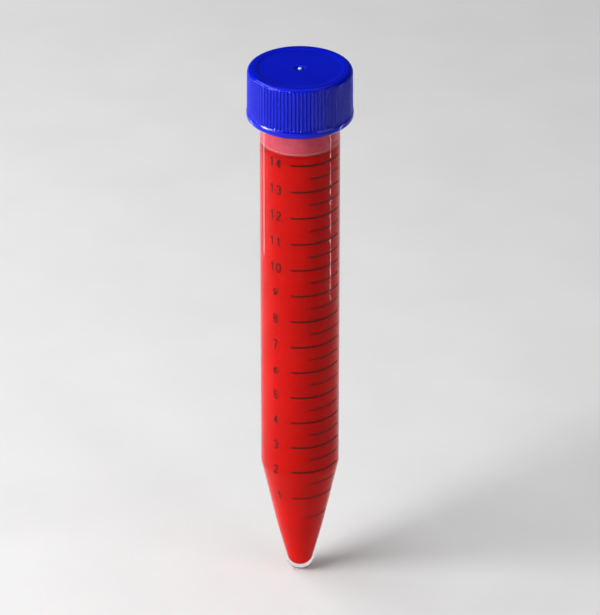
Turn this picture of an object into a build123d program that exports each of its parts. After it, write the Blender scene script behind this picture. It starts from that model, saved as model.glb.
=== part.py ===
from build123d import *
from math import atan, cos, degrees, pi, radians, sin, tan
import os

# A 15 mL conical centrifuge tube with a ribbed screw cap, filled with a red sample.
# Millimetres. +Z runs up the tube's axis from the lowest point of its conical tip,
# and the printed scale faces -Y.

# ---- driving dimensions ----
overall_height = 120.0
barrel_r = 8.3
bore_r = 7.23
cone_angle = 12.0  # between the axis and the side of the cone
bore_tip_r = 1.7  # where the bore's cone would meet its floor
tip_wall = 1.5
bore_tip_fillet = 1.8
tip_fillet = 3.0

rim_z = 118.0
neck_r = 8.15
neck_base_z = 110.0
rim_fillet = 0.3
collar_r = 8.65
collar_height = 0.7
collar_z = 109.0
collar_ramp = 0.3  # the cone from the barrel out to the collar

thread_lead = 3.0
thread_height = 1.0
thread_root_w = 1.6
thread_crest_w = 0.6
thread_embed = 0.3  # how far a thread's foot is sunk in its wall
thread_fade = 40.0  # degrees over which a thread's end tapers away
thread_end_share = 0.1  # of the thread's height, left at its very end
section_step = 15.0  # degrees from one section of a thread to the next
neck_thread_z = 111.9  # middle of the thread at its lower end
neck_thread_turns = 1.5
cap_thread_start = 60.0  # degrees past the start of the neck's thread
cap_thread_turns = 1.5
flank_gap = 0.35  # along the axis, between the two threads where they would bear

cap_bottom_z = 108.9
cap_r = 11.05
cap_top_r = 10.85
cap_bore_r = 9.5
cap_ceiling_z = 118.7
cap_shoulder_fillet = 1.0
lip_bevel = 0.5
lip_height = 1.4
mouth_chamfer = 0.4
cutter_overrun = 1.0  # how far the bore's outline starts below the mouth
rib_count = 88
rib_groove_r = 0.24
land_inner_r = 9.0  # inside edge of the flat ring on the cap's top
dish_r = 8.5
dish_depth = 0.15
gate_recess_r = 1.2
gate_recess_depth = 0.2
gate_pip_r = 0.42
gate_pip_height = 0.3
gate_pip_embed = 0.1  # how far the pip's foot is sunk in the recess

liner_r = 9.2
liner_recess_r = 6.4
liner_recess_depth = 0.15
liner_edge = 0.12

liquid_level = 104.5  # where the liquid meets the wall
meniscus_depth = 0.7

ink = 0.03  # thickness of a printed layer
print_top_z = 108.0  # no print stands above this
major_line_w = 0.4
minor_line_w = 0.34
last_ml = 14
line_end = 70.0  # degrees round from -Y, towards +X
major_line_start = -14.0
minor_line_start = 13.5
numeral_angle = -38.0
digit_height = 2.2
digit_gap = 0.4
stroke = 0.34

panel_width = 11.0
panel_height = 46.0
panel_z = 70.0
panel_corner = 1.6

# ---- heights and radii worked out from them ----
slope = tan(radians(cone_angle))
wall = barrel_r - bore_r
bore_cone_top = tip_wall + (bore_r - bore_tip_r) / slope
tip_r = bore_tip_r + wall / cos(radians(cone_angle)) - tip_wall * slope
cone_top = (barrel_r - tip_r) / slope
cone_volume = pi * (bore_r**3 - bore_tip_r**3) / (3 * slope)
flank_slope = (thread_root_w - thread_crest_w) / 2 / thread_height
loop_r = (digit_height - stroke) / 4  # half a digit is a loop of this radius
match = 0.01  # edges this close to a radius and height are the ones meant


def outer_r(z):
    """The tube's outside radius at a height below its neck."""
    return min(tip_r + z * slope, barrel_r)


def level_of(millilitres):
    """The height that a volume fills the tube to."""
    volume = 1000 * millilitres
    if volume > cone_volume:
        return bore_cone_top + (volume - cone_volume) / (pi * bore_r**2)
    r = (bore_tip_r**3 + 3 * slope * volume / pi) ** (1 / 3)
    return tip_wall + (r - bore_tip_r) / slope


def profile_face(*points):
    """A closed outline of (radius, height) points in the XZ plane."""
    return Plane.XZ * make_face(Polyline(*points, close=True))


def turned(*points):
    """The solid that such an outline sweeps round the axis."""
    return revolve(profile_face(*points), Axis.Z)


def rounded_at(solid, r, z, radius):
    """A turned solid with its circular edge at that radius and height filleted."""
    edges = [
        e
        for e in solid.edges().filter_by(GeomType.CIRCLE)
        if abs(e.radius - r) < match and abs(e.arc_center.Z - z) < match
    ]
    return fillet(edges, radius)


# ---- threads ----
def thread_section(angle, foot_r, outwards, z, share):
    """A trapezoid across a thread, standing on a wall that its foot is sunk in."""
    foot_w = thread_root_w + 2 * flank_slope * thread_embed
    sunk_r = foot_r - outwards * thread_embed
    top_r = sunk_r + outwards * share * (thread_height + thread_embed)
    radial = Plane(
        origin=(0, 0, 0),
        x_dir=(cos(radians(angle)), sin(radians(angle)), 0),
        z_dir=(sin(radians(angle)), -cos(radians(angle)), 0),
    )
    return radial * make_face(
        Polyline(
            (sunk_r, z - foot_w / 2),
            (top_r, z - thread_crest_w / 2),
            (top_r, z + thread_crest_w / 2),
            (sunk_r, z + foot_w / 2),
            close=True,
        )
    )


def thread(foot_r, outwards, first_z, first_angle, turns):
    """A right-hand thread whose two ends taper into the wall."""
    total = 360 * turns
    steps = round(total / section_step)
    sections = []
    for i in range(steps + 1):
        along = total * i / steps
        share = min(1.0, thread_end_share + min(along, total - along) / thread_fade)
        z = first_z + thread_lead * along / 360
        sections.append(thread_section(first_angle + along, foot_r, outwards, z, share))
    return loft(sections)


# ---- the tube ----
def tube_body():
    outside = turned(
        (0, 0),
        (tip_r, 0),
        (barrel_r, cone_top),
        (barrel_r, collar_z - collar_ramp),
        (collar_r, collar_z),
        (collar_r, collar_z + collar_height),
        (neck_r, neck_base_z),
        (neck_r, rim_z),
        (0, rim_z),
    )
    outside = rounded_at(outside, tip_r, 0, tip_fillet)
    cavity = turned(
        (0, tip_wall),
        (bore_tip_r, tip_wall),
        (bore_r, bore_cone_top),
        (bore_r, overall_height),
        (0, overall_height),
    )
    cavity = rounded_at(cavity, bore_tip_r, tip_wall, bore_tip_fillet)
    shell = outside - cavity
    shell = rounded_at(shell, neck_r, rim_z, rim_fillet)
    shell = rounded_at(shell, bore_r, rim_z, rim_fillet)
    return shell + thread(neck_r, 1, neck_thread_z, 0, neck_thread_turns)


def sample_liquid():
    """What fills the bore, with the hollow of its meniscus on top."""
    column = turned(
        (0, tip_wall),
        (bore_tip_r, tip_wall),
        (bore_r, bore_cone_top),
        (bore_r, liquid_level),
        (0, liquid_level),
    )
    column = rounded_at(column, bore_tip_r, tip_wall, bore_tip_fillet)
    hollow_r = (bore_r**2 + meniscus_depth**2) / (2 * meniscus_depth)
    return column - Pos(0, 0, liquid_level - meniscus_depth + hollow_r) * Sphere(hollow_r)


# ---- the cap and its seal ----
def screw_cap():
    outside = turned(
        (0, cap_bottom_z),
        (cap_r - lip_bevel, cap_bottom_z),
        (cap_r, cap_bottom_z + lip_bevel),
        (cap_r, cap_bottom_z + lip_height),
        (cap_top_r, overall_height),
        (land_inner_r, overall_height),
        (dish_r, overall_height - dish_depth),
        (gate_recess_r, overall_height - dish_depth),
        (gate_recess_r - gate_recess_depth, overall_height - dish_depth - gate_recess_depth),
        (0, overall_height - dish_depth - gate_recess_depth),
    )
    outside = rounded_at(outside, cap_top_r, overall_height, cap_shoulder_fillet)
    bore = turned(
        (0, cap_bottom_z - cutter_overrun),
        (cap_bore_r + mouth_chamfer, cap_bottom_z - cutter_overrun),
        (cap_bore_r + mouth_chamfer, cap_bottom_z),
        (cap_bore_r, cap_bottom_z + mouth_chamfer),
        (cap_bore_r, cap_ceiling_z),
        (0, cap_ceiling_z),
    )
    recess_z = overall_height - dish_depth - gate_recess_depth
    pip = turned(
        (0, recess_z - gate_pip_embed),
        (gate_pip_r, recess_z - gate_pip_embed),
        (gate_pip_r, recess_z + gate_pip_height / 2),
        (gate_pip_r / 2, recess_z + gate_pip_height),
        (0, recess_z + gate_pip_height),
    )
    return outside - bore - rib_grooves() + pip + cap_thread()


def cap_thread():
    """The cap's thread, hanging under the neck's by the two flanks' widths and their gap."""
    below = thread_root_w - flank_slope * (cap_bore_r - neck_r) + flank_gap
    first_z = neck_thread_z - below + thread_lead * cap_thread_start / 360
    return thread(cap_bore_r, -1, first_z, cap_thread_start, cap_thread_turns)


def rib_grooves():
    """Upright round grooves, from the smooth lip up into the shoulder."""
    low_z = cap_bottom_z + lip_height
    rise = overall_height - low_z
    lean = degrees(atan((cap_r - cap_top_r) / rise))
    groove = Cylinder(rib_groove_r, rise, align=(Align.CENTER, Align.CENTER, Align.MIN))
    leaning = Pos(cap_r, 0, low_z) * Rot(0, -lean, 0) * groove
    return [Rot(0, 0, 360 * i / rib_count) * leaning for i in range(rib_count)]


def sealing_liner():
    return turned(
        (0, rim_z + liner_recess_depth),
        (liner_recess_r - liner_recess_depth, rim_z + liner_recess_depth),
        (liner_recess_r, rim_z),
        (liner_r - liner_edge, rim_z),
        (liner_r, rim_z + liner_edge),
        (liner_r, cap_ceiling_z - liner_edge),
        (liner_r - liner_edge, cap_ceiling_z),
        (0, cap_ceiling_z),
    )


# ---- the print ----
def facing(angle, out=0.0):
    """A plane square to a radius at an angle round from -Y, with its Y axis upright."""
    outwards = Vector(sin(radians(angle)), -cos(radians(angle)), 0)
    return Plane(
        origin=outwards * out,
        x_dir=(cos(radians(angle)), sin(radians(angle)), 0),
        z_dir=outwards,
    )


def printed(outline, angle):
    """The ink that a flat outline leaves on the tube's wall."""
    layer = turned(
        (tip_r, 0),
        (tip_r + ink, 0),
        (barrel_r + ink, cone_top),
        (barrel_r + ink, print_top_z),
        (barrel_r, print_top_z),
        (barrel_r, cone_top),
    )
    return layer & extrude(facing(angle, bore_tip_r) * outline, barrel_r)


def graduation(millilitres, width, start):
    """One printed line, round the wall from its own start to the scale's common end."""
    low = level_of(millilitres) - width / 2
    high = low + width
    section = profile_face(
        (outer_r(low), low),
        (outer_r(low) + ink, low),
        (outer_r(high) + ink, high),
        (outer_r(high), high),
    )
    return Rot(0, 0, start - 90) * revolve(section, Axis.Z, line_end - start)


def digit(character):
    """A digit drawn with a round-ended pen, centred on the origin."""
    c = loop_r
    upper, lower = (0, c), (0, -c)
    lines = {
        "0": [
            CenterArc(upper, c, 0, 180),
            Line((-c, c), (-c, -c)),
            CenterArc(lower, c, 180, 180),
            Line((c, -c), (c, c)),
        ],
        "1": [Line((-0.7 * c, 1.3 * c), (0.1 * c, 2 * c)), Line((0.1 * c, 2 * c), (0.1 * c, -2 * c))],
        "2": [
            CenterArc(upper, c, -30, 200),
            Line(Vector(*upper) + Vector(c, 0).rotate(Axis.Z, -30), (-c, -2 * c)),
            Line((-c, -2 * c), (c, -2 * c)),
        ],
        "3": [CenterArc(upper, c, -90, 240), CenterArc(lower, c, -150, 240)],
        "4": [
            Line((0.4 * c, -2 * c), (0.4 * c, 2 * c)),
            Line((0.4 * c, 2 * c), (-c, -0.8 * c)),
            Line((-c, -0.8 * c), (c, -0.8 * c)),
        ],
        "5": [
            Line((0.9 * c, 2 * c), (-0.8 * c, 2 * c)),
            Line((-0.8 * c, 2 * c), Vector(*lower) + Vector(c, 0).rotate(Axis.Z, 140)),
            CenterArc(lower, c, -150, 290),
        ],
        "6": [
            CenterArc(lower, c, 0, 360),
            CenterArc((c, -c), 2 * c, 180, -40),
            CenterArc((c, -c), 2 * c, 140, -45),
        ],
        "7": [Line((-c, 2 * c), (c, 2 * c)), Line((c, 2 * c), (-0.3 * c, -2 * c))],
        "8": [CenterArc((0, 1.1 * c), 0.9 * c, 0, 360), CenterArc(lower, c, 0, 360)],
    }
    if character == "9":
        return Rot(0, 0, 180) * digit("6")
    drawn = Sketch()
    for line in lines[character]:
        drawn += trace(line, stroke)
        drawn += [Pos(*(line @ end)) * Circle(stroke / 2) for end in (0, 1)]
    return drawn


def numeral(millilitres):
    """A graduation's number, level with its line."""
    text = str(millilitres)
    pitch = 2 * loop_r + stroke + digit_gap
    outlines = [
        Pos((i - (len(text) - 1) / 2) * pitch, level_of(millilitres)) * digit(character)
        for i, character in enumerate(text)
    ]
    return [solid for outline in outlines for solid in printed(outline, numeral_angle).solids()]


def writing_panel():
    """The plain patch opposite the scale."""
    return printed(Pos(0, panel_z) * RectangleRounded(panel_width, panel_height, panel_corner), 180)


# ---- the whole tube, one file for each piece ----
whole_ml = range(1, last_ml + 1)
nodes = {
    "tube_body": tube_body(),
    "screw_cap": screw_cap(),
    "sealing_liner": sealing_liner(),
    "sample_liquid": sample_liquid(),
    "major_graduations": [graduation(n, major_line_w, major_line_start) for n in whole_ml],
    "minor_graduations": [graduation(n - 0.5, minor_line_w, minor_line_start) for n in whole_ml],
    "graduation_numerals": [solid for n in whole_ml for solid in numeral(n)],
    "writing_panel": writing_panel(),
}

os.makedirs("parts", exist_ok=True)
for name, shape in nodes.items():
    solids = shape if isinstance(shape, list) else shape.solids()
    export_step(Compound(solids), f"parts/{name}.step")
    print(name, len(solids), round(sum(solid.volume for solid in solids), 2))
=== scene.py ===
import math

import bpy
import numpy as np
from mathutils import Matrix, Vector


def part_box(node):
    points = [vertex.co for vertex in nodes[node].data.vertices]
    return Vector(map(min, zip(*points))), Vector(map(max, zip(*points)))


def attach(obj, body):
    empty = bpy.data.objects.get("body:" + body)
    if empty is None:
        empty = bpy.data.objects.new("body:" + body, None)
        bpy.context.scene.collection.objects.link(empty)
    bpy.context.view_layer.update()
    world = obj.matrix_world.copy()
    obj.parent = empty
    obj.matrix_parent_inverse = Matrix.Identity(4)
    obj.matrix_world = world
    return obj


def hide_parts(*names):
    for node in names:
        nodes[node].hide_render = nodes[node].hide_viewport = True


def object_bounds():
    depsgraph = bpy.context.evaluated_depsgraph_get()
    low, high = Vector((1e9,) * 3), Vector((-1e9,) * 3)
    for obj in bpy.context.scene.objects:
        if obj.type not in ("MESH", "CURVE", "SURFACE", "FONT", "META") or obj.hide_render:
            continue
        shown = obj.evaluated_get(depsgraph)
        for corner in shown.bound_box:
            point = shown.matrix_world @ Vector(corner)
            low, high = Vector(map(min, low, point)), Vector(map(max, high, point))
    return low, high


# A clear conical centrifuge tube with a ribbed blue screw cap, full of a red sample.
# Outlines are in millimetres, (radius, height), as the CAD's are; meshes are in metres.

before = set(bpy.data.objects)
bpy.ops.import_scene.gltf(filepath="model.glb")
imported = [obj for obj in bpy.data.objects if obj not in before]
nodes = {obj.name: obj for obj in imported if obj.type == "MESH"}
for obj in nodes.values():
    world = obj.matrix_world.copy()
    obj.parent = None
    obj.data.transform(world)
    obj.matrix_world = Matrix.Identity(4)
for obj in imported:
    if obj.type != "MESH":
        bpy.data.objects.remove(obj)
cad_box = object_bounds()
MM = 0.001

# ---- the tube's own dimensions, in millimetres ----
barrel_r = 8.3
bore_r = 7.23
cone_angle = math.radians(12)
bore_tip_r = 1.7
tip_wall = 1.5
bore_tip_fillet = 1.8
tip_fillet = 3.0
cone_fillet = 4.0  # where the cone meets the barrel, inside and out
neck_r = 8.15
neck_base_z = 110.0
neck_fillet = 0.2
rim_fillet = 0.38
collar_r = 8.65
collar_z = 109.0
collar_height = 0.7
collar_ramp = 0.3
collar_fillet = 0.15

# ---- the threads ----
thread_lead = 3.0
thread_height = 1.0
thread_root_w = 1.6
thread_crest_w = 0.6
thread_fade = 40.0  # degrees over which an end of a thread rises
flank_step = 0.5  # this share of a flank stands up at once, and the rest swells smoothly
neck_thread_z = 111.9
neck_thread_turns = 1.5
cap_thread_start = 60.0
cap_thread_turns = 1.5
flank_gap = 0.35

# ---- the cap ----
cap_r = 11.05
cap_top_r = 10.85
cap_bore_r = 9.5
shoulder_fillet = 1.0
ceiling_fillet = 0.25
lip_bevel = 0.5
lip_fillet = 0.35
lip_edge_fillet = 0.2
lip_height = 1.4
lip_step = 0.12  # the ribs stand this far back from the lip, down a short slope
lip_slope_height = 0.23
lip_slope_fillet = 0.1
mouth_chamfer = 0.4
mouth_fillet = 0.15
rib_count = 88
groove_depth = 0.24
groove_half_w = 0.28
groove_end = 0.3
groove_roundness = 0.8  # under 1, a groove's floor is flatter than a parabola
land_inner_r = 9.0
dish_r = 8.5
dish_depth = 0.15
dish_fillet = 1.6
gate_recess_r = 1.2
gate_recess_depth = 0.2
gate_pip_r = 0.42
gate_pip_height = 0.3
gate_fillet = 0.1
gate_root_fillet = 0.06
gate_margin = 0.2  # rings this far inside the dish's edges keep its flat middle's shading flat
dish_margin = 0.5

# ---- the sealing disc and the sample ----
liner_recess_r = 6.4
liner_recess_depth = 0.15
liner_recess_fillets = (0.2, 0.1)
liner_edge = 0.12
liner_edge_fillet = 0.08
meniscus_depth = 0.7
meniscus_reach = 1.5  # how quickly the meniscus falls away from the wall
wetting = 0.05  # the liquid reaches this far into the wall, so that no film of air shows between
film_fade = 0.8  # the red film on the wall fades in over this height, below the liquid's level

# ---- how finely the meshes are divided ----
same_r = 0.01  # points this close to a wall's radius are on the wall
arc_detail = 6  # a fillet has this many steps a radian, times the root of its radius
arc_least = 3
straight_share = 0.499  # a corner that turns by almost nothing has no arc
plain_spacing = 4.0
neck_thread_spacing = 0.12
cap_thread_spacing = 0.34
rib_spacing = 2.0
fine_rib_height = 0.5  # the ribs' lowest stretch, where the grooves end, is divided more finely
groove_end_spacing = 0.08
lip_slope_spacing = 0.1
meniscus_points = 24
tube_around = 240
liquid_around = 192
liner_around = 128
cap_around = rib_count * 10


def in_mm(node):
    """A CAD node's lowest and highest corners, in millimetres."""
    low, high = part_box(node)
    return np.array(low) / MM, np.array(high) / MM


rim_z = in_mm("tube_body")[1][2]
cap_bottom_z, cap_top_z = in_mm("screw_cap")[0][2], in_mm("screw_cap")[1][2]
liner_z, ceiling_z = in_mm("sealing_liner")[0][2], in_mm("sealing_liner")[1][2]
liner_r = in_mm("sealing_liner")[1][0]
liquid_level = in_mm("sample_liquid")[1][2]

slope = math.tan(cone_angle)
bore_cone_top = tip_wall + (bore_r - bore_tip_r) / slope
tip_r = bore_tip_r + (barrel_r - bore_r) / math.cos(cone_angle) - tip_wall * slope
cone_top = (barrel_r - tip_r) / slope
flank_slope = (thread_root_w - thread_crest_w) / 2 / thread_height


# ---- meshes turned round the axis ----
def rounded(corners):
    """An outline of (radius, height, fillet) corners, with each fillet as a short arc."""
    points = [Vector(corner[:2]) for corner in corners]
    outline = [points[0]]
    for before, here, after, (_, _, fillet) in zip(points, points[1:], points[2:], corners[1:]):
        back, on = (before - here).normalized(), (after - here).normalized()
        half = math.acos(max(-1, min(1, back.dot(on)))) / 2
        if not fillet or half > straight_share * math.pi:
            outline.append(here)
            continue
        centre = here + (back + on).normalized() * fillet / math.sin(half)
        first = here + back * fillet / math.tan(half) - centre
        last = here + on * fillet / math.tan(half) - centre
        swing = first.angle_signed(last)
        steps = max(arc_least, round(arc_detail * abs(swing) * math.sqrt(fillet)))
        for i in range(steps + 1):
            angle = -swing * i / steps
            turned_x = first.x * math.cos(angle) - first.y * math.sin(angle)
            turned_y = first.x * math.sin(angle) + first.y * math.cos(angle)
            outline.append(centre + Vector((turned_x, turned_y)))
    return outline + [points[-1]]


def divided(outline, spacing):
    """The outline with no run longer than the spacing."""
    points = [outline[0]]
    for start, end in zip(outline, outline[1:]):
        pieces = max(1, math.ceil((end - start).length / spacing))
        points += [start.lerp(end, (i + 1) / pieces) for i in range(pieces)]
    return points


def threaded(outline, r, spacing):
    """The outline with its long run at the radius divided finely, and the rest coarsely."""
    runs = [
        i
        for i, (start, end) in enumerate(zip(outline, outline[1:]))
        if max(abs(start.x - r), abs(end.x - r)) < same_r
    ]
    long = max(runs, key=lambda i: (outline[i + 1] - outline[i]).length)
    before, after = outline[: long + 1], outline[long + 1 :]
    run = divided(outline[long : long + 2], spacing)
    return divided(before, plain_spacing) + run[1:-1] + divided(after, plain_spacing)


def turned(name, outline, around, relief=None):
    """A closed mesh: the outline, from the axis back to the axis, swept round it."""
    r = np.array([p.x for p in outline[1:-1]])[:, None]
    z = np.array([p.y for p in outline[1:-1]])[:, None]
    angle = np.linspace(0, 2 * np.pi, around, endpoint=False)[None, :]
    out = r + (relief(angle, r, z) if relief else 0 * angle)
    rings = np.stack([out * np.cos(angle), out * np.sin(angle), z + 0 * angle], axis=-1)
    poles = [[0, 0, outline[0].y], [0, 0, outline[-1].y]]
    vertices = np.vstack([rings.reshape(-1, 3), poles]) * MM
    rows, last = len(r), len(r) * around
    j = np.arange(around)
    k = (j + 1) % around
    faces = []
    for i in range(rows - 1):
        low, high = i * around, (i + 1) * around
        faces += np.stack([low + j, low + k, high + k, high + j], axis=1).tolist()
    faces += [(int(b), int(a), last) for a, b in zip(j, k)]
    top = (rows - 1) * around
    faces += [(int(top + a), int(top + b), last + 1) for a, b in zip(j, k)]
    mesh = bpy.data.meshes.new(name)
    mesh.from_pydata(vertices.tolist(), [], faces)
    mesh.shade_smooth()
    mesh.update()
    piece = bpy.data.objects.new(name, mesh)
    bpy.context.scene.collection.objects.link(piece)
    if signed_volume(mesh) < 0:
        mesh.flip_normals()
    return piece


def signed_volume(mesh):
    """The mesh's volume, below 0 if its faces look inwards."""
    mesh.calc_loop_triangles()
    total = 0.0
    for triangle in mesh.loop_triangles:
        a, b, c = (mesh.vertices[v].co for v in triangle.vertices)
        total += a.dot(b.cross(c)) / 6
    return total


def thread_relief(angle, z, first_z, first_angle, turns):
    """How far a thread stands off its wall at each angle and height."""
    height = np.zeros(np.broadcast(angle, z).shape)
    for turn in range(-1, math.ceil(turns) + 1):
        along = np.degrees(angle) - first_angle + 360 * turn
        off = np.abs(z - first_z - thread_lead * along / 360)
        flank = np.clip((thread_root_w / 2 - off) / (flank_slope * thread_height), 0, 1)
        ends = np.minimum(along, 360 * turns - along)
        share = np.clip(ends / thread_fade, 0, 1)
        swell = flank * flank * (3 - 2 * flank)
        flank = swell * (1 - flank_step) + flank * flank_step
        height = np.maximum(height, thread_height * flank * share * (ends > 0))
    return height


# ---- the pieces ----
def tube_wall():
    outline = rounded([
        (0, 0, 0),
        (tip_r, 0, tip_fillet),
        (barrel_r, cone_top, cone_fillet),
        (barrel_r, collar_z - collar_ramp, collar_ramp),
        (collar_r, collar_z, collar_fillet),
        (collar_r, collar_z + collar_height, collar_fillet),
        (neck_r, neck_base_z, neck_fillet),
        (neck_r, rim_z, rim_fillet),
        (bore_r, rim_z, rim_fillet),
        (bore_r, bore_cone_top, cone_fillet),
        (bore_tip_r, tip_wall, bore_tip_fillet),
        (0, tip_wall, 0),
    ])

    def relief(angle, r, z):
        on_neck = (np.abs(r - neck_r) < same_r) & (z > neck_base_z)
        return on_neck * thread_relief(angle, z, neck_thread_z, 0, neck_thread_turns)

    return turned("tube_wall", threaded(outline, neck_r, neck_thread_spacing), tube_around, relief)


def meniscus_z(r):
    """The height of the liquid's surface, which climbs to its level at the wall."""
    return liquid_level - meniscus_depth * (1 - math.exp((r - bore_r) / meniscus_reach))


def liquid_column():
    wet_r = bore_r + wetting
    surface = [Vector((r, meniscus_z(r))) for r in np.linspace(wet_r, 0, meniscus_points)]
    wall = rounded([
        (0, tip_wall - wetting, 0),
        (bore_tip_r + wetting, tip_wall - wetting, bore_tip_fillet),
        (wet_r, bore_cone_top, cone_fillet),
        (wet_r, liquid_level, 0),
    ])
    outline = divided(wall[:-1] + surface[:1], plain_spacing) + surface[1:]
    return turned("liquid_column", outline, liquid_around)


def cap_shell():
    dish_z = cap_top_z - dish_depth
    recess_z = dish_z - gate_recess_depth
    lip_z = cap_bottom_z + lip_height
    rib_z = lip_z + lip_slope_height
    rib_r = cap_r - lip_step
    top = rounded([
        (0, recess_z + gate_pip_height, 0),
        (gate_pip_r / 2, recess_z + gate_pip_height, gate_fillet),
        (gate_pip_r, recess_z + gate_pip_height / 2, gate_fillet),
        (gate_pip_r, recess_z, gate_root_fillet),
        (gate_recess_r - gate_recess_depth, recess_z, gate_fillet),
        (gate_recess_r, dish_z, gate_fillet),
        (gate_recess_r + gate_margin, dish_z, 0),
        (dish_r - dish_margin, dish_z, 0),
        (dish_r, dish_z, dish_fillet),
        (land_inner_r, cap_top_z, dish_fillet),
        (cap_top_r, cap_top_z, shoulder_fillet),
        (rib_r, rib_z, 0),
    ])
    lip = rounded([
        (rib_r, rib_z, 0),
        (cap_r, lip_z, lip_slope_fillet),
        (cap_r, cap_bottom_z + lip_bevel, lip_fillet),
        (cap_r - lip_bevel, cap_bottom_z, lip_edge_fillet),
        (cap_bore_r + mouth_chamfer, cap_bottom_z, mouth_fillet),
        (cap_bore_r, cap_bottom_z + mouth_chamfer, mouth_fillet),
        (cap_bore_r, ceiling_z, ceiling_fillet),
        (0, ceiling_z, 0),
    ])
    below = thread_root_w - flank_slope * (cap_bore_r - neck_r) + flank_gap
    first_z = neck_thread_z - below + thread_lead * cap_thread_start / 360
    lean = (rib_r - cap_top_r) / (cap_top_z - rib_z)

    def relief(angle, r, z):
        pitch = 2 * np.pi * cap_r / rib_count
        across = (angle * cap_r + pitch / 2) % pitch - pitch / 2
        hollow = np.clip(1 - (across / groove_half_w) ** 2, 0, 1) ** groove_roundness
        run_in = np.clip((z - rib_z) / groove_end, 0, 1)
        floor_r = rib_r - lean * (z - rib_z) - groove_depth * hollow * run_in
        ribbed = (r > cap_top_r - shoulder_fillet) & (z > rib_z)
        grooves = np.where(ribbed, np.minimum(0, floor_r - r), 0)
        inside = (np.abs(r - cap_bore_r) < same_r) & (z < ceiling_z)
        thread = thread_relief(angle, z, first_z, cap_thread_start, cap_thread_turns)
        return np.where(inside, -thread, grooves)

    shoulder, ledge = top[-2:]
    knee = ledge.lerp(shoulder, fine_rib_height / (shoulder - ledge).length)
    wall = divided([shoulder, knee], rib_spacing) + divided([knee, ledge], groove_end_spacing)[1:]
    slope = divided(lip[:2], lip_slope_spacing)
    inner = threaded(lip[1:], cap_bore_r, cap_thread_spacing)
    return turned("cap_shell", top[:-2] + wall + slope[1:-1] + inner, cap_around, relief)


def liner_disc():
    recess_z = liner_z + liner_recess_depth
    recess_fillet, seat_fillet = liner_recess_fillets
    outline = rounded([
        (0, recess_z, 0),
        (liner_recess_r - liner_recess_depth, recess_z, recess_fillet),
        (liner_recess_r, liner_z, seat_fillet),
        (liner_r - liner_edge, liner_z, liner_edge_fillet),
        (liner_r, liner_z + liner_edge, liner_edge_fillet),
        (liner_r, ceiling_z - liner_edge, liner_edge_fillet),
        (liner_r - liner_edge, ceiling_z, liner_edge_fillet),
        (0, ceiling_z, 0),
    ])
    return turned("liner_disc", outline, liner_around)


# ---- materials ----
middle_range = (0.3, 0.7)  # most of a noise's values lie between these


def material(name):
    """A new node material: it, its Principled shader, a function that adds a node, and one that links."""
    made = bpy.data.materials.new(name)
    made.use_nodes = True
    tree = made.node_tree
    shader = tree.nodes["Principled BSDF"]

    def add(kind, **values):
        node = tree.nodes.new(kind)
        for key, value in values.items():
            if hasattr(node, key):
                setattr(node, key, value)
            else:
                node.inputs[key.replace("_", " ")].default_value = value
        return node

    return made, shader, add, tree.links.new


def noise(add, link, scale, detail=3.0):
    """Noise in metres, so that its grain is the same size on every piece."""
    place = add("ShaderNodeTexCoord")
    texture = add("ShaderNodeTexNoise", Scale=scale, Detail=detail)
    link(place.outputs["Object"], texture.inputs["Vector"])
    return texture.outputs["Fac"]


def spread(add, link, value, low, high):
    """The value's middle range, mapped to low and high."""
    ramp = add("ShaderNodeMapRange", From_Min=middle_range[0], From_Max=middle_range[1])
    ramp.inputs["To Min"].default_value = low
    ramp.inputs["To Max"].default_value = high
    link(value, ramp.inputs["Value"])
    return ramp.outputs["Result"]


def mixed(add, link, value, low, high):
    """Two colours mixed by the value's middle range."""
    ramp = add("ShaderNodeValToRGB")
    for element, place, colour in zip(ramp.color_ramp.elements, middle_range, (low, high)):
        element.position = place
        element.color = (*colour, 1)
    link(value, ramp.inputs["Fac"])
    return ramp.outputs["Color"]


def blended(add, link, share, low, high):
    """Two colours mixed by a share; the first is a socket, the second a socket or a plain value."""
    mix = add("ShaderNodeMix", data_type="RGBA")
    link(share, mix.inputs["Factor"])
    link(low, mix.inputs["A"])
    if isinstance(high, tuple):
        mix.inputs["B"].default_value = (*high, 1)
    else:
        link(high, mix.inputs["B"])
    return mix.outputs["Result"]


def bumped(add, link, shader, value, depth, strength):
    """The value as a fine relief of the depth in metres."""
    bump = add("ShaderNodeBump", Strength=strength, Distance=depth)
    link(value, bump.inputs["Height"])
    link(bump.outputs["Normal"], shader.inputs["Normal"])


def upward(add, link, low, high):
    """0 below one height and 1 above another, in millimetres, with a smooth step between."""
    place = add("ShaderNodeTexCoord")
    parts = add("ShaderNodeSeparateXYZ")
    step = add("ShaderNodeMapRange", interpolation_type="SMOOTHSTEP")
    step.inputs["From Min"].default_value = low * MM
    step.inputs["From Max"].default_value = high * MM
    link(place.outputs["Object"], parts.inputs["Vector"])
    link(parts.outputs["Z"], step.inputs["Value"])
    return step.outputs["Result"]


def near_axis(add, link, inner, outer):
    """1 within one radius of the axis and 0 beyond another, in millimetres."""
    place = add("ShaderNodeTexCoord")
    flat = add("ShaderNodeVectorMath", operation="MULTIPLY")
    flat.inputs[1].default_value = (1, 1, 0)
    length = add("ShaderNodeVectorMath", operation="LENGTH")
    step = add("ShaderNodeMapRange", interpolation_type="SMOOTHSTEP")
    step.inputs["From Min"].default_value = inner * MM
    step.inputs["From Max"].default_value = outer * MM
    step.inputs["To Min"].default_value = 1
    step.inputs["To Max"].default_value = 0
    link(place.outputs["Object"], flat.inputs[0])
    link(flat.outputs["Vector"], length.inputs[0])
    link(length.outputs["Value"], step.inputs["Value"])
    return step.outputs["Result"]


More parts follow.
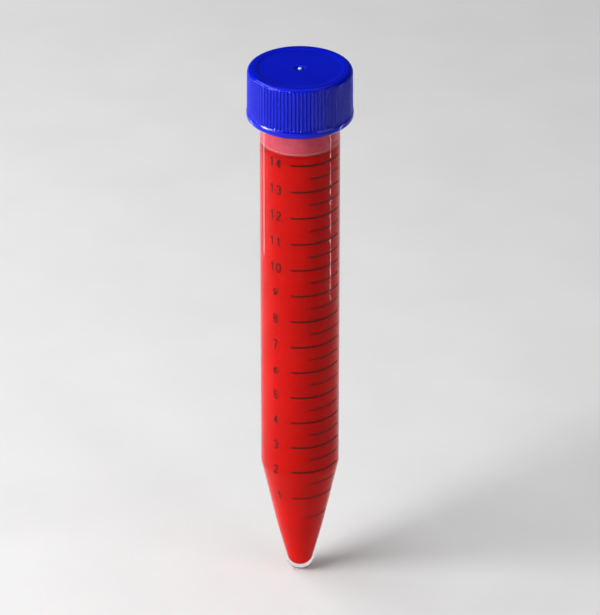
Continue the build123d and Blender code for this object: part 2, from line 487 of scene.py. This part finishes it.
def clear_plastic():
    """Clear wall, with a red film where the sample has wetted it above its level."""
    made, shader, add, link = material("clear_plastic")
    haze = noise(add, link, 260)
    film = upward(add, link, liquid_level - film_fade, liquid_level)
    plain = mixed(add, link, haze, (0.92, 0.93, 0.95), (0.98, 0.98, 0.99))
    filmed = mixed(add, link, haze, (0.74, 0.10, 0.15), (0.82, 0.16, 0.22))
    link(blended(add, link, film, plain, filmed), shader.inputs["Base Color"])
    clear = add("ShaderNodeMapRange")
    clear.inputs["To Min"].default_value = 1
    clear.inputs["To Max"].default_value = 0.65
    link(film, clear.inputs["Value"])
    link(clear.outputs["Result"], shader.inputs["Transmission Weight"])
    link(spread(add, link, haze, 0.03, 0.06), shader.inputs["Roughness"])
    shader.inputs["IOR"].default_value = 1.18
    bumped(add, link, shader, noise(add, link, 500), 0.00002, 0.1)
    return made


def red_liquid():
    """A dense dye: light goes a few millimetres in and comes back red."""
    made, shader, add, link = material("red_liquid")
    cloud = noise(add, link, 120)
    dye = mixed(add, link, cloud, (0.50, 0.002, 0.001), (0.58, 0.004, 0.002))
    link(dye, shader.inputs["Base Color"])
    link(spread(add, link, cloud, 0.03, 0.05), shader.inputs["Roughness"])
    shader.inputs["IOR"].default_value = 1.33
    shader.inputs["Specular IOR Level"].default_value = 0.06
    shader.inputs["Subsurface Weight"].default_value = 0.9
    shader.inputs["Subsurface Radius"].default_value = (0.008, 0.0002, 0.0001)
    shader.inputs["Subsurface Scale"].default_value = 1
    return made


def cap_plastic():
    """Dyed plastic, with a pale spot painted on the gate pip in the middle: partly the whitening where
    the moulding was broken from its sprue, partly a painted highlight where the pip catches the lamps.
    """
    made, shader, add, link = material("cap_plastic")
    tint = noise(add, link, 90, 4.0)
    # painted highlight: the pale spot round the axis stands for the gate pip's glint, as well as the
    # sprue's whitened mark
    gate_mark_and_highlight = near_axis(add, link, 0.8 * gate_pip_r, 1.1 * gate_pip_r)
    plain = mixed(add, link, tint, (0.0002, 0.004, 0.38), (0.0003, 0.007, 0.45))
    link(blended(add, link, gate_mark_and_highlight, plain, (0.55, 0.62, 0.95)), shader.inputs["Base Color"])
    grain = noise(add, link, 1500, 2.0)
    link(spread(add, link, grain, 0.08, 0.12), shader.inputs["Roughness"])
    shader.inputs["Specular IOR Level"].default_value = 0.22
    shader.inputs["Subsurface Weight"].default_value = 0.12
    shader.inputs["Subsurface Radius"].default_value = (0.0002, 0.0004, 0.0012)
    bumped(add, link, shader, grain, 0.00001, 0.1)
    return made


def soft_liner():
    """A mottled, matt foam."""
    made, shader, add, link = material("soft_liner")
    mottle = noise(add, link, 700)
    foam = mixed(add, link, mottle, (0.74, 0.73, 0.69), (0.83, 0.82, 0.78))
    link(foam, shader.inputs["Base Color"])
    link(spread(add, link, mottle, 0.55, 0.7), shader.inputs["Roughness"])
    bumped(add, link, shader, mottle, 0.00003, 0.4)
    return made


def printed_ink(name, thin, full, low_roughness, high_roughness):
    """Ink that covers unevenly, from its thin colour to its full one."""
    made, shader, add, link = material(name)
    coverage = noise(add, link, 1800, 4.0)
    link(mixed(add, link, coverage, thin, full), shader.inputs["Base Color"])
    link(spread(add, link, coverage, low_roughness, high_roughness), shader.inputs["Roughness"])
    shader.inputs["Specular IOR Level"].default_value = 0.12
    bumped(add, link, shader, coverage, 0.00001, 0.4)
    return made


def floor_paper():
    made, shader, add, link = material("floor_paper")
    paper = noise(add, link, 40)
    link(mixed(add, link, paper, (0.67, 0.67, 0.67), (0.70, 0.70, 0.70)), shader.inputs["Base Color"])
    shader.inputs["Roughness"].default_value = 0.8
    return made


def dress(piece, finish):
    piece.data.materials.clear()
    piece.data.materials.append(finish)


def repaint(node, finish):
    """A CAD node keeps its mesh and takes the finish on its own slots."""
    for slot in nodes[node].material_slots:
        slot.link = "OBJECT"
        slot.material = finish


black_ink = printed_ink("black_ink", (0.05, 0.002, 0.002), (0.015, 0.001, 0.001), 0.5, 0.65)
white_ink = printed_ink("white_ink", (0.76, 0.76, 0.74), (0.86, 0.86, 0.84), 0.5, 0.7)
for node in ("major_graduations", "minor_graduations", "graduation_numerals"):
    repaint(node, black_ink)
repaint("writing_panel", white_ink)

for make, finish, node, body, slot in (
    (tube_wall, clear_plastic, "tube_body", "tube", "clear_plastic"),
    (liquid_column, red_liquid, "sample_liquid", "tube", "red_liquid"),
    (cap_shell, cap_plastic, "screw_cap", "cap", "cap_plastic"),
    (liner_disc, soft_liner, "sealing_liner", "seal", "liner"),
):
    piece = make()
    dress(piece, finish())
    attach(piece, body)
    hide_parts(node)


# ---- floor, lights and camera; lengths in metres ----
floor_size = 6.0
world_strength = 0.05
elevation = math.radians(29)
distance = 1.0
framed = 0.129  # height of the view at the tube
sensor = 36.0  # in millimetres, as Blender's lenses are
aim_rise = 0.004  # the view's middle stands this far above the tube's

low, high = (Vector(corner) for corner in cad_box)
middle = (low + high) / 2

studio_lamps = (  # name, place, size, power in watts
    ("key", (-0.92, -0.37, 0.39), (0.73, 0.09), 18.5),
    ("fill", (0.78, -0.545, 0.58), (0.72, 0.3), 2.5),
    ("overhead", (0.0, 0.1, 0.85), (0.8, 0.8), 1.1),
    ("rim_strip", (-0.35, 0.0, 0.55), (0.8, 0.04), 2.2),
)
strip_height = 0.09
strip_z = 0.05
side_strips = (  # name, place on the floor plan, width, power in watts
    ("right_strip", (0.12, 0.012), 0.006, 0.03),
    ("left_strip", (-0.115, 0.08), 0.02, 0.02),
)


def stage_floor():
    bpy.ops.mesh.primitive_plane_add(size=floor_size)
    floor = bpy.context.object
    floor.name = "floor"
    dress(floor, floor_paper())
    return floor


def lamp(name, place, size, power, aim):
    data = bpy.data.lights.new(name, "AREA")
    data.shape = "RECTANGLE"
    data.size, data.size_y = size
    data.energy = power
    light = bpy.data.objects.new(name, data)
    light.location = place
    light.visible_camera = False
    light.rotation_euler = (aim - Vector(place)).to_track_quat("-Z", "Y").to_euler()
    bpy.context.scene.collection.objects.link(light)
    return light


floor = stage_floor()
for name, place, size, power in studio_lamps:
    lamp(name, place, size, power, middle)

# Two low strips shine in the tube's sides and leave the floor alone.
not_lit = bpy.data.collections.new("not_lit_by_strips")
not_lit.objects.link(floor)
not_lit.collection_objects[0].light_linking.link_state = "EXCLUDE"
for name, place, width, power in side_strips:
    strip = lamp(name, (*place, strip_z), (width, strip_height), power, Vector((0, 0, strip_z)))
    strip.light_linking.receiver_collection = not_lit

world = bpy.data.worlds.new("studio")
world.use_nodes = True
world.node_tree.nodes["Background"].inputs["Color"].default_value = (1, 1, 1, 1)
world.node_tree.nodes["Background"].inputs["Strength"].default_value = world_strength
bpy.context.scene.world = world
bpy.context.scene.view_settings.view_transform = "Standard"

camera_data = bpy.data.cameras.new("camera")
camera_data.sensor_width = sensor
camera_data.lens = sensor * distance / framed
camera = bpy.data.objects.new("camera", camera_data)
away = Vector((0, -math.cos(elevation), math.sin(elevation)))
camera.location = middle + Vector((0, 0, aim_rise)) + distance * away
camera.rotation_euler = (math.pi / 2 - elevation, 0, 0)
bpy.context.scene.collection.objects.link(camera)
bpy.context.scene.camera = camera
